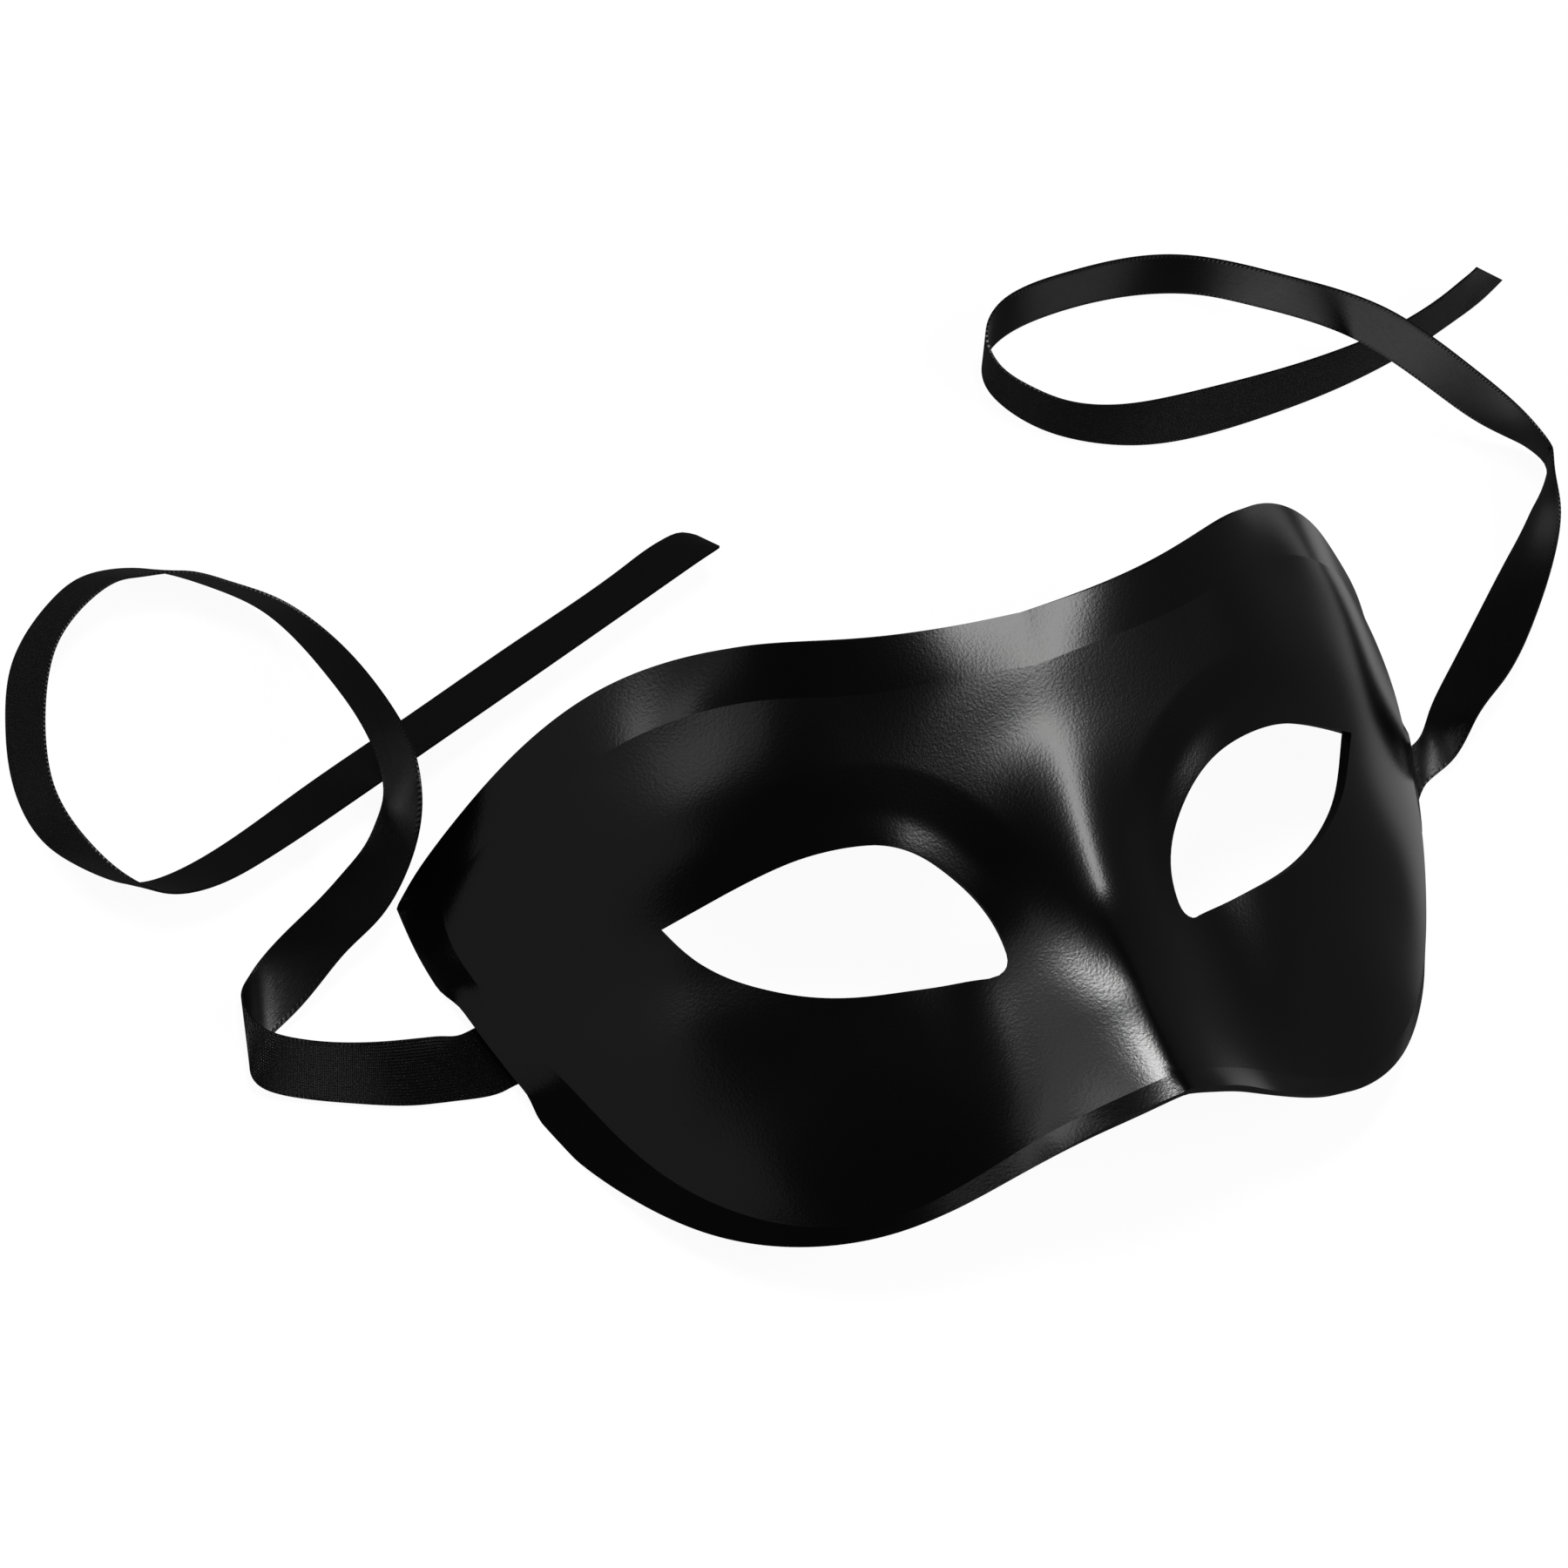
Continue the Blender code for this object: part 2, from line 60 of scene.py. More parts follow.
BROW_REACH = 0.0110         # eye opening to where the overhang has run out
RIDGE_HEIGHT = 0.0022       # sharp part of the nose ridge
RIDGE_WIDTH = 0.0070
RIDGE_ROUND = 0.0012
RIDGE_LENGTH = 0.0360       # cheek edge to where the ridge has run out, at the bridge

# Sizes of the ribbons and of their way out of the shell
RIBBON_WIDTH = 0.0100
RIBBON_THICKNESS = 0.0010
CLEARANCE = 0.0003
ARCH_CENTRE = 0.0450        # cheek edge to the middle of the ribbons' way out
ARCH_RUNOUT = 0.0050        # length of each end of the arch over the ribbon

# Fineness of the shell: columns along each stretch, rings from eye to border
BROW_COLUMNS = 100
SIDE_COLUMNS = 124
MIDDLE_COLUMNS = 40
FACE_RINGS = 44
BORDER_RINGS = 8
EYE_POINTS = 1200           # points that the eye's outline is read from
CURVE_STEPS = 40            # readings between two rows of a table, to space points equally
MITRE_COLUMNS = 40          # columns of the crease that are drawn back at the tip

# Outer edge of the right half, from the middle of the brow round the tip to the nose.
# Columns: across (share of half the width), along (share of the length),
# rise (share of the rise), border (share of the border's width).
# What lies below the floor is trimmed in the floor's plane.
BROW_EDGE = [
    (0.000, 0.881, 0.999, 0.95),
    (0.160, 0.890, 1.002, 0.88),
    (0.325, 0.916, 0.978, 0.90),
    (0.465, 0.955, 0.922, 0.90),
    (0.580, 0.985, 0.803, 1.00),
    (0.695, 0.990, 0.654, 1.05),
    (0.790, 0.966, 0.505, 0.98),
    (0.865, 0.928, 0.350, 0.80),
    (0.930, 0.883, 0.201, 0.65),
    (0.975, 0.843, 0.072, 0.54),
    (1.000, 0.812, -0.015, 0.50),
]
SIDE_EDGE = [
    (1.000, 0.812, -0.015, 0.50),
    (0.996, 0.725, -0.015, 0.38),
    (0.977, 0.630, -0.015, 0.34),
    (0.951, 0.540, -0.015, 0.36),
    (0.922, 0.452, -0.015, 0.38),
    (0.882, 0.352, -0.012, 0.38),
    (0.812, 0.218, 0.057, 0.36),
    (0.722, 0.113, 0.134, 0.32),
    (0.600, 0.035, 0.247, 0.28),
    (0.465, 0.002, 0.360, 0.28),
    (0.352, 0.005, 0.459, 0.32),
    (0.235, 0.022, 0.577, 0.38),
    (0.155, 0.032, 0.682, 0.38),
    (0.080, 0.036, 0.769, 0.38),
    (0.000, 0.040, 0.830, 0.38),
]

# The right eye opening, from its outer corner over the lid and back along the cheek.
# Columns: across, from the inner corner (share of the eye's width), and along (share
# of its length).
EYE_EDGE = [
    (1.000, 0.912),
    (0.886, 0.941),
    (0.781, 0.968),
    (0.691, 0.985),
    (0.600, 0.992),
    (0.503, 0.980),
    (0.394, 0.945),
    (0.284, 0.880),
    (0.193, 0.780),
    (0.107, 0.625),
    (0.044, 0.455),
    (0.009, 0.282),
    (0.000, 0.140),
    (0.010, 0.040),
    (0.042, 0.000),
    (0.096, 0.012),
    (0.208, 0.046),
    (0.350, 0.088),
    (0.503, 0.150),
    (0.646, 0.252),
    (0.766, 0.387),
    (0.860, 0.534),
    (0.950, 0.750),
    (1.000, 0.912),
]
EYE_CENTRE = (0.500, 0.520)

# Sections across the face, from the cheeks to the brow. Columns: along (share of the
# length), then the height (share of the rise) at the stations named in ACROSS.
ACROSS = (0.000, 0.115, 0.230, 0.345, 0.460, 0.580, 0.695, 0.810, 0.925, 1.040)
SECTIONS = [
    (0.000, 0.78, 0.71, 0.57, 0.45, 0.36, 0.26, 0.12, -0.06, -0.31, -0.62),
    (0.140, 0.76, 0.70, 0.60, 0.53, 0.45, 0.36, 0.24, 0.06, -0.20, -0.52),
    (0.280, 0.76, 0.71, 0.62, 0.58, 0.52, 0.43, 0.32, 0.17, -0.08, -0.39),
    (0.420, 0.79, 0.74, 0.66, 0.63, 0.58, 0.50, 0.40, 0.26, 0.05, -0.26),
    (0.560, 0.84, 0.81, 0.77, 0.74, 0.67, 0.57, 0.46, 0.31, 0.12, -0.12),
    (0.700, 0.90, 0.89, 0.87, 0.84, 0.79, 0.70, 0.58, 0.41, 0.18, -0.08),
    (0.845, 0.99, 0.98, 0.95, 0.91, 0.86, 0.76, 0.64, 0.47, 0.20, -0.11),
    (0.990, 1.03, 1.02, 0.98, 0.95, 0.90, 0.81, 0.69, 0.45, 0.12, -0.17),
]

# Routes of the two ribbons, in millimetres from the middle of the cheeks' edge line.
# Columns: across, along and up of the edge that starts nearer the brow, then across,
# along and up of the other edge. The first rows are glued inside the side wall.
LEFT_ROUTE = [
    (-69.9, 51.4, 12.0, -67.6, 41.8, 11.9),
    (-73.5, 50.8, 8.8, -71.2, 41.2, 8.8),
    (-77.2, 50.2, 5.3, -74.9, 40.5, 5.1),
    (-79.0, 49.9, 2.6, -76.6, 40.2, 2.0),
    (-80.3, 49.6, 1.2, -78.0, 39.9, 0.8),
    (-82.0, 49.4, 0.6, -79.8, 39.7, 0.6),
    (-84.4, 49.0, 0.6, -82.2, 39.3, 0.6),
    (-88.2, 49.2, 1.8, -88.4, 39.8, 0.6),
    (-95.4, 49.5, 5.0, -96.0, 41.0, 0.8),
    (-105.8, 50.6, 8.2, -105.4, 44.0, 0.8),
    (-113.4, 53.2, 8.6, -113.0, 46.8, 1.2),
    (-117.2, 57.0, 7.0, -118.0, 49.6, 2.0),
    (-116.6, 61.6, 4.0, -118.4, 52.4, 2.2),
    (-113.6, 64.8, 1.4, -115.6, 55.0, 1.6),
    (-109.8, 67.4, 0.8, -109.0, 58.2, 3.6),
    (-103.9, 70.5, 1.0, -100.5, 63.5, 7.3),
    (-98.1, 73.3, 2.5, -94.2, 66.6, 9.0),
    (-93.9, 75.7, 4.5, -90.4, 70.0, 11.9),
    (-90.7, 77.9, 6.7, -87.6, 74.4, 15.5),
    (-88.5, 80.6, 8.9, -86.2, 78.9, 18.5),
    (-87.0, 83.0, 10.0, -85.7, 82.4, 19.9),
    (-85.7, 86.4, 9.7, -85.0, 86.2, 19.7),
    (-84.5, 92.1, 8.0, -84.5, 92.1, 18.0),
    (-84.3, 97.2, 6.4, -84.8, 97.2, 16.4),
    (-84.8, 103.2, 4.4, -85.7, 103.1, 14.4),
    (-86.2, 110.2, 2.4, -87.9, 109.7, 12.2),
    (-89.3, 116.8, 1.1, -91.5, 115.1, 10.7),
    (-95.0, 121.9, 0.7, -97.0, 119.2, 10.1),
    (-101.1, 125.7, 0.6, -102.6, 122.3, 9.9),
    (-108.7, 128.0, 0.6, -109.5, 123.5, 9.5),
    (-113.8, 128.0, 0.6, -112.9, 123.7, 9.6),
    (-119.5, 125.8, 0.6, -117.7, 122.3, 9.8),
    (-124.5, 122.5, 0.6, -122.3, 119.8, 10.0),
    (-128.7, 118.5, 0.6, -126.1, 116.7, 10.1),
    (-133.2, 110.2, 0.6, -131.0, 109.3, 10.3),
    (-135.6, 101.6, 0.6, -134.1, 101.3, 10.5),
    (-135.7, 96.5, 0.6, -134.9, 96.6, 10.6),
    (-134.4, 91.9, 0.6, -134.4, 91.9, 10.6),
    (-131.4, 88.0, 0.6, -132.6, 86.9, 10.5),
    (-127.8, 84.9, 0.6, -129.7, 82.3, 10.1),
    (-123.8, 82.8, 0.6, -124.6, 78.3, 9.5),
    (-119.0, 82.6, 0.6, -118.2, 77.3, 9.1),
    (-110.0, 84.4, 0.6, -108.5, 78.9, 8.8),
    (-94.3, 89.5, 0.6, -92.5, 83.6, 8.5),
    (-75.0, 95.5, 0.6, -73.2, 89.6, 8.5),
    (-52.7, 102.5, 0.6, -50.8, 96.6, 8.5),
    (-30.8, 109.4, 0.6, -29.0, 103.5, 8.5),
    (-22.4, 112.0, 0.6, -21.6, 105.8, 8.5),
    (-19.6, 112.1, 0.8, -20.2, 106.2, 8.5),
    (-17.9, 111.0, 1.4, -19.2, 106.5, 8.5),
]
RIGHT_ROUTE = [
    (69.9, 51.4, 12.0, 67.6, 41.8, 11.9),
    (73.5, 50.8, 8.8, 71.2, 41.2, 8.8),
    (77.2, 50.2, 5.3, 74.9, 40.5, 5.1),
    (79.0, 50.1, 2.6, 76.7, 40.4, 2.0),
    (80.3, 50.2, 1.2, 78.0, 40.5, 0.8),
    (82.0, 50.5, 0.6, 79.8, 40.8, 0.6),
    (85.0, 51.1, 0.6, 84.0, 44.4, 0.6),
    (87.4, 52.4, 0.6, 88.6, 46.4, 2.8),
    (90.6, 55.6, 0.6, 93.0, 50.8, 7.2),
    (96.2, 60.3, 0.6, 100.0, 55.2, 7.9),
    (106.7, 68.6, 0.6, 110.4, 64.0, 8.7),
    (114.6, 74.8, 0.6, 117.0, 71.8, 9.8),
    (120.4, 79.3, 0.6, 121.0, 78.8, 10.6),
    (125.0, 83.0, 0.6, 123.2, 85.2, 10.2),
    (128.0, 85.6, 0.6, 124.6, 88.4, 9.6),
    (128.9, 87.8, 0.6, 124.2, 88.2, 9.4),
    (127.6, 90.2, 1.0, 124.2, 87.8, 10.0),
    (123.9, 92.7, 2.4, 122.2, 90.4, 12.0),
    (117.8, 96.0, 4.6, 117.6, 95.6, 14.6),
    (110.2, 101.0, 8.2, 110.5, 101.4, 18.2),
    (103.0, 106.9, 11.0, 103.4, 107.4, 21.0),
    (98.0, 112.0, 11.2, 98.4, 112.5, 21.2),
    (92.8, 117.6, 8.8, 93.2, 118.1, 18.8),
    (87.0, 123.4, 4.8, 87.4, 123.9, 14.8),
    (81.0, 127.5, 2.6, 81.4, 128.4, 12.5),
    (74.6, 129.9, 1.2, 75.0, 131.7, 11.0),
    (64.6, 131.2, 0.6, 64.8, 133.7, 10.3),
    (55.0, 131.0, 0.6, 54.8, 133.8, 10.2),
    (47.6, 129.9, 0.6, 46.6, 133.2, 10.0),
    (42.8, 128.0, 0.6, 40.6, 131.2, 9.8),
    (40.2, 125.4, 0.6, 37.0, 127.2, 9.9),
    (39.6, 122.4, 0.6, 36.9, 122.4, 10.2),
    (41.0, 118.9, 0.6, 39.9, 118.2, 10.5),
    (45.0, 114.5, 0.6, 44.9, 114.4, 10.6),
    (52.0, 110.4, 0.6, 52.6, 111.8, 10.5),
    (61.0, 107.6, 0.6, 61.6, 111.0, 10.0),
    (72.0, 106.6, 0.6, 72.0, 110.9, 9.6),
    (84.0, 107.0, 0.6, 83.7, 110.9, 9.8),
    (97.0, 108.2, 0.6, 96.6, 111.6, 10.0),
    (108.0, 110.0, 0.6, 107.4, 113.1, 10.1),
    (118.0, 112.4, 0.6, 117.1, 115.7, 10.0),
    (124.0, 114.2, 0.6, 121.2, 117.2, 9.9),
    (130.0, 116.2, 0.6, 123.6, 118.1, 9.9),
    (135.4, 118.6, 0.6, 125.2, 118.8, 9.9),
]

MILLIMETRE = 0.001
HALF_WIDTH = MASK_WIDTH / 2
MERGE_DISTANCE = 0.00001    # between the two halves' points in the middle plane
MIDDLE_SHARE = 0.4964       # cheek edge to the origin, as a share of the length
MIDDLE = np.array((0.0, MASK_LENGTH * MIDDLE_SHARE, 0.0))


def cubic(knots, values, at):
    """Natural cubic spline: column j of values, over the knots, read at at[j]."""
    knots = np.asarray(knots, float)
    count = len(knots)
    step = np.diff(knots)
    matrix = np.eye(count)
    target = np.zeros(values.shape)
    slope = np.diff(values, axis=0) / step[:, None]
    for row in range(1, count - 1):
        matrix[row, row - 1:row + 2] = step[row - 1], 2 * (step[row - 1] + step[row]), step[row]
        target[row] = 6 * (slope[row] - slope[row - 1])
    bend = np.linalg.solve(matrix, target)
    span = np.clip(np.searchsorted(knots, at) - 1, 0, count - 2)
    column = np.arange(len(at))
    width = step[span]
    before = at - knots[span]
    after = knots[span + 1] - at
    return (
        (bend[span, column] * after**3 + bend[span + 1, column] * before**3) / (6 * width)
        + (values[span, column] / width - bend[span, column] * width / 6) * after
        + (values[span + 1, column] / width - bend[span + 1, column] * width / 6) * before
    )


def curve(points, count):
    """Smooth curve through the points, at count places equally spaced along it."""
    points = np.asarray(points, float)
    knots = np.r_[0, np.cumsum(np.linalg.norm(np.diff(points, axis=0), axis=1))]

    def read(places):
        columns = [cubic(knots, np.tile(column[:, None], len(places)), places) for column in points.T]
        return np.stack(columns, axis=1)

    fine = np.linspace(0, knots[-1], CURVE_STEPS * len(points))
    length = np.r_[0, np.cumsum(np.linalg.norm(np.diff(read(fine), axis=0), axis=1))]
    return read(np.interp(np.linspace(0, length[-1], count), length, fine))


def smooth_step(value):
    value = np.clip(value, 0, 1)
    return value * value * (3 - 2 * value)


EYE_ORIGIN = np.array((EYE_SPACING / 2, EYE_INSET))
EYE_SIZE = np.array((EYE_WIDTH, EYE_LENGTH))
EYE_MIDDLE = EYE_ORIGIN + np.array(EYE_CENTRE) * EYE_SIZE
EYE_OUTLINE = curve(EYE_ORIGIN + np.array(EYE_EDGE) * EYE_SIZE, EYE_POINTS)


def eye_reach(direction):
    """Distance from the eye's centre to its edge, for angles seen from above."""
    offset = EYE_OUTLINE - EYE_MIDDLE
    angle = np.arctan2(offset[:, 1], offset[:, 0])
    order = np.argsort(angle)
    return np.interp(direction, angle[order], np.linalg.norm(offset, axis=1)[order], period=2 * np.pi)


def lid_fold(x, y):
    """Depth of the fold between the lid and the brow's overhang."""
    side, forward = x - EYE_MIDDLE[0], y - EYE_MIDDLE[1]
    angle = np.arctan2(forward, side)
    distance = np.hypot(side, forward) - eye_reach(angle)
    rising = distance / LID_WIDTH
    falling = (BROW_REACH - distance) / (BROW_REACH - LID_WIDTH)
    dent = 0.5 * (rising + falling - np.sqrt((rising - falling) ** 2 + LID_BLEND**2))
    turn = np.degrees(np.mod(angle, 2 * np.pi))
    window = smooth_step((turn - LID_START) / LID_FADE) * smooth_step((LID_END - turn) / LID_FADE)
    return LID_DEPTH * np.maximum(dent, 0) * window


def face_height(x, y):
    """Height of the outer face above the floor. It is the same on both halves."""
    x = np.abs(x)
    stations = np.array(ACROSS) * HALF_WIDTH
    stations = np.r_[-stations[:0:-1], stations]
    rows = []
    for _, *heights in SECTIONS:
        heights = np.array(heights)
        values = np.r_[heights[:0:-1], heights]
        rows.append(cubic(stations, np.tile(values[:, None], len(x)), x))
    along = np.array([row[0] for row in SECTIONS]) * MASK_LENGTH
    height = cubic(along, np.array(rows), y) * MASK_RISE
    from_ridge = np.sqrt(x**2 + RIDGE_ROUND**2) - RIDGE_ROUND
    fade = smooth_step((RIDGE_LENGTH - y) / (RIDGE_LENGTH / 2))
    return height + RIDGE_HEIGHT * np.exp(-from_ridge / RIDGE_WIDTH) * fade - lid_fold(x, y)


def trim_height(x, y):
    """Lowest height of the shell: the floor, with an arch in each side edge over the ribbon."""
    lift = RIBBON_THICKNESS + 4 * CLEARANCE
    flat = RIBBON_WIDTH / 2 + 6 * CLEARANCE
    arch = lift * smooth_step((flat + ARCH_RUNOUT - np.abs(y - ARCH_CENTRE)) / ARCH_RUNOUT)
    return np.where(x > HALF_WIDTH / 2, arch, 0)


def edge_columns(table, count):
    """Outer edge and border width at equally spaced places along one stretch."""
    size = np.array((HALF_WIDTH, MASK_LENGTH, MASK_RISE, BORDER_WIDTH))
    columns = curve(np.array(table) * size, count)
    edge, border = columns[:, :3], columns[:, 3]
    edge[:, 2] = np.maximum(edge[:, 2], trim_height(edge[:, 0], edge[:, 1]))
    along = np.gradient(edge[:, :2], axis=0)
    inward = np.stack((along[:, 1], -along[:, 0]), axis=1) / np.linalg.norm(along, axis=1)[:, None]
    return edge, border, inward


def drawn_back(crease):
    """A crease whose last stretch ends on the mitre, where the next crease meets it."""
    tail = crease[-MITRE_COLUMNS:]
    nearest = np.argmin(np.linalg.norm(tail[:-1] - tail[-1], axis=1))
    line = np.vstack((tail[:nearest], tail[-1]))
    run = np.r_[0, np.cumsum(np.linalg.norm(np.diff(line, axis=0), axis=1))]
    places = np.linspace(0, run[-1], MITRE_COLUMNS)
    drawn = crease.copy()
    drawn[-MITRE_COLUMNS:] = np.stack([np.interp(places, run, line[:, k]) for k in (0, 1)], axis=1)
    return drawn


def outer_face():
    """The half shell's outer face as a grid: one row of points for each column."""
    brow_edge, brow_border, brow_inward = edge_columns(BROW_EDGE, BROW_COLUMNS + 1)
    side_edge, side_border, side_inward = edge_columns(SIDE_EDGE, SIDE_COLUMNS + 1)
    for inward, end in ((brow_inward, 0), (side_inward, -1)):
        inward[end, 0] = 0
        inward[end] /= np.linalg.norm(inward[end])
    corner = brow_inward[-1] + side_inward[0]
    brow_inward[-1] = corner / (1 + brow_inward[-1] @ side_inward[0])
    edge = np.vstack((brow_edge, side_edge[1:]))
    border = np.r_[brow_border, side_border[1:]]
    inward = np.vstack((brow_inward, side_inward[1:]))
    crease = edge[:, :2] + inward * border[:, None]
    crease[:BROW_COLUMNS + 1] = drawn_back(crease[:BROW_COLUMNS + 1])
    crease[BROW_COLUMNS:] = drawn_back(crease[:BROW_COLUMNS - 1:-1])[::-1]
    middle = np.linspace(crease[-1], crease[0], MIDDLE_COLUMNS + 1)[1:-1]
    outer = np.vstack((crease, middle))

    ray = outer - EYE_MIDDLE
    reach = eye_reach(np.arctan2(ray[:, 1], ray[:, 0]))[:, None]
    inner = EYE_MIDDLE + ray / np.linalg.norm(ray, axis=1)[:, None] * reach
    nearest = np.argmin(np.linalg.norm(inner - EYE_OUTLINE[0], axis=1))
    inner[nearest] = EYE_OUTLINE[0]

    share = np.linspace(0, 1, FACE_RINGS + 1)[None, :, None]
    plan = inner[:, None] + (outer - inner)[:, None] * share
    height = face_height(plan[..., 0].ravel(), plan[..., 1].ravel()).reshape(plan.shape[:2])
    face = np.dstack((plan, height))

    share = np.linspace(0, 1, BORDER_RINGS + 1)[None, 1:, None]
    crease_points = face[:len(edge), -1]
    strip = crease_points[:, None] + (edge - crease_points)[:, None] * share
    return face, strip


def grid_normals(face, strip):
    """Outward normals of the face and the border, column by column."""
    around = np.roll(face, -1, axis=0) - np.roll(face, 1, axis=0)
    face_normal = np.cross(around, np.gradient(face, axis=1))
    whole = np.concatenate((face[:len(strip), -1:], strip), axis=1)
    strip_normal = np.cross(np.gradient(whole, axis=0), np.gradient(whole, axis=1))[:, 1:]
    for points, normal in ((face, face_normal), (strip, strip_normal)):
        normal[np.abs(points[..., 0]) < MERGE_DISTANCE / 2, 0] = 0
        normal /= np.linalg.norm(normal, axis=2)[..., None]
    return face_normal, strip_normal


def shell_half():
    """Points and faces of the right half: outer face, inner face and the wall's edges."""
    face, strip = outer_face()
    face_normal, strip_normal = grid_normals(face, strip)
    inner_face = face - face_normal * WALL
    inner_strip = strip - strip_normal * WALL
    lowest = trim_height(inner_strip[..., 0], inner_strip[..., 1])
    inner_strip[..., 2] = np.maximum(inner_strip[..., 2], lowest)

    columns, rings = face.shape[:2]
    strip_columns, strip_rings = strip.shape[:2]
    layer = columns * rings + strip_columns * strip_rings
    points = np.vstack([grid.reshape(-1, 3) for grid in (face, strip, inner_face, inner_strip)])

    def at(column, ring):
        """Number of a point on the outer face. Rings past the face's last are the border's."""
        if ring < rings:
            return column % columns * rings + ring
        return columns * rings + column * strip_rings + ring - rings

    faces = []
    for column in range(columns):
        last = rings - 1 + strip_rings * (column < strip_columns - 1)
        for ring in range(last):
            a, b = at(column, ring), at(column + 1, ring)
            c, d = at(column + 1, ring + 1), at(column, ring + 1)
            faces += [(a, b, c, d), (a + layer, d + layer, c + layer, b + layer)]
        a, b = at(column, 0), at(column + 1, 0)
        faces.append((b, a, a + layer, b + layer))
        if column < strip_columns - 1:
            a, b = at(column, last), at(column + 1, last)
            faces.append((a, b, b + layer, a + layer))
    return points - MIDDLE, faces


def material(name, **sockets):
    made = bpy.data.materials.new(name)
    made.use_nodes = True
    nodes, links = made.node_tree.nodes, made.node_tree.links
    surface = nodes["Principled BSDF"]
    for socket, value in sockets.items():
        surface.inputs[socket.replace("_", " ")].default_value = value
    return made, nodes, links, surface


def node(nodes, kind, **settings):
    made = nodes.new(kind)
    for key, value in settings.items():
        if hasattr(made, key):
            setattr(made, key, value)
        else:
            made.inputs[key.replace("_", " ")].default_value = value
    return made


def new_piece(name, points, faces, made, smooth=True):
    mesh = bpy.data.meshes.new(name)
    mesh.from_pydata(np.asarray(points).tolist(), [], faces)
    mesh.materials.append(made)
    if smooth:
        mesh.shade_smooth()
    piece = bpy.data.objects.new(name, mesh)
    bpy.context.scene.collection.objects.link(piece)
    return piece


# Camera, where the photograph's perspective puts it. Lens and sensor are in millimetres.
CAMERA_AT = (-0.6556, -0.23194, 1.0705)
CAMERA_RIGHT = (0.8343, -0.3748, 0.4043)
CAMERA_UP = (0.2323, 0.9041, 0.3587)
CAMERA_LENS = 200.2
SENSOR = 36.0


def make_camera():
    data = bpy.data.cameras.new("camera")
    data.lens = CAMERA_LENS
    data.sensor_width = SENSOR
    camera = bpy.data.objects.new("camera", data)
    bpy.context.scene.collection.objects.link(camera)
    right, up = Vector(CAMERA_RIGHT).normalized(), Vector(CAMERA_UP)
    back = right.cross(up).normalized()
    up = back.cross(right)
    turn = Matrix((right, up, back)).transposed()
    camera.matrix_world = Matrix.Translation(CAMERA_AT) @ turn.to_4x4()
    bpy.context.scene.camera = camera


# Satin strips: thickness in metres, stations along and steps across, and the angle in degrees
# above which an edge is sharp.
STRIP_THICKNESS = 0.00035
STRIP_STATIONS = 420
STRIP_ACROSS = 10
STRIP_SHARP_ANGLE = 60


def ribbon_lines(route, count):
    """Centre, half width and normal at equally spaced stations of a route."""
    stations = curve(np.array(route) * MILLIMETRE, count)
    first, second = stations[:, :3] - MIDDLE, stations[:, 3:] - MIDDLE
    centre = (first + second) / 2
    run = np.gradient(centre, axis=0)
    width = (second - first) / 2
    normal = np.cross(run, width)
    normal /= np.linalg.norm(normal, axis=1)[:, None]
    lowest = centre[:, 2] - np.abs(width[:, 2]) - np.abs(normal[:, 2]) * STRIP_THICKNESS / 2
    centre[:, 2] -= np.minimum(lowest, 0)
    return centre, width, normal


def make_ribbon(node_name, route, front, back):
    """A closed strip, ring by ring along the route; its other side wears the second material."""
    centre, width, normal = ribbon_lines(route, STRIP_STATIONS)
    length = np.r_[0, np.cumsum(np.linalg.norm(np.diff(centre, axis=0), axis=1))]
    share = np.linspace(-1, 1, STRIP_ACROSS + 1)
    half = STRIP_THICKNESS / 2
    around = [(s, half) for s in share] + [(s, -half) for s in share[::-1]]
    points, places = [], []
    for s, offset in around:
        points.append(centre + width * s + normal * offset)
        places.append(np.stack((length, np.full(len(length), s * RIBBON_WIDTH / 2)), axis=1))
    ring = len(around)
    points = np.stack(points, axis=1).reshape(-1, 3)
    places = np.stack(places, axis=1).reshape(-1, 2)
    faces = []
    for station in range(STRIP_STATIONS - 1):
        for side in range(ring):
            following = (side + 1) % ring
            a, b = station * ring + side, station * ring + following
            faces.append((a, b, b + ring, a + ring))
    faces.append(tuple(range(ring))[::-1])
    last = (STRIP_STATIONS - 1) * ring
    faces.append(tuple(range(last, last + ring)))
    faces = [face[::-1] for face in faces]
    piece = new_piece(node_name + "_satin", points, faces, front)
    mesh = piece.data
    mesh.materials.append(back)
    for station in range(STRIP_STATIONS - 1):
        for side in range(STRIP_ACROSS):
            mesh.polygons[station * ring + side].material_index = 1
    mesh.set_sharp_from_angle(angle=np.radians(STRIP_SHARP_ANGLE))
    layer = mesh.uv_layers.new(name="along")
    corner = np.empty(len(mesh.loops), dtype=np.int32)
    mesh.loops.foreach_get("vertex_index", corner)
    layer.data.foreach_set("uv", places[corner].ravel())
    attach(piece, "root")
    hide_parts(node_name)


# Satin: the weave's lengths in metres, its slant in degrees and the face's thread
# frequencies along and across the ribbon. A relief is a bump's strength and its depth in metres.
THREAD_PITCH = 0.00055
THREAD_SLANT = 35.0
SELVEDGE_PITCH = 0.0007
SELVEDGE_START = 0.0043
SELVEDGE_FULL = 0.0046
FACE_THREADS = (500.0, 7000.0, 1.0)
FACE_RELIEF = (0.4, 0.00006)
BACK_RELIEF = (1.0, 0.0002)
SATIN_BLACK = (0.003, 0.003, 0.003, 1)
SATIN_IOR = 1.4
QUARTER_TURN = 0.25


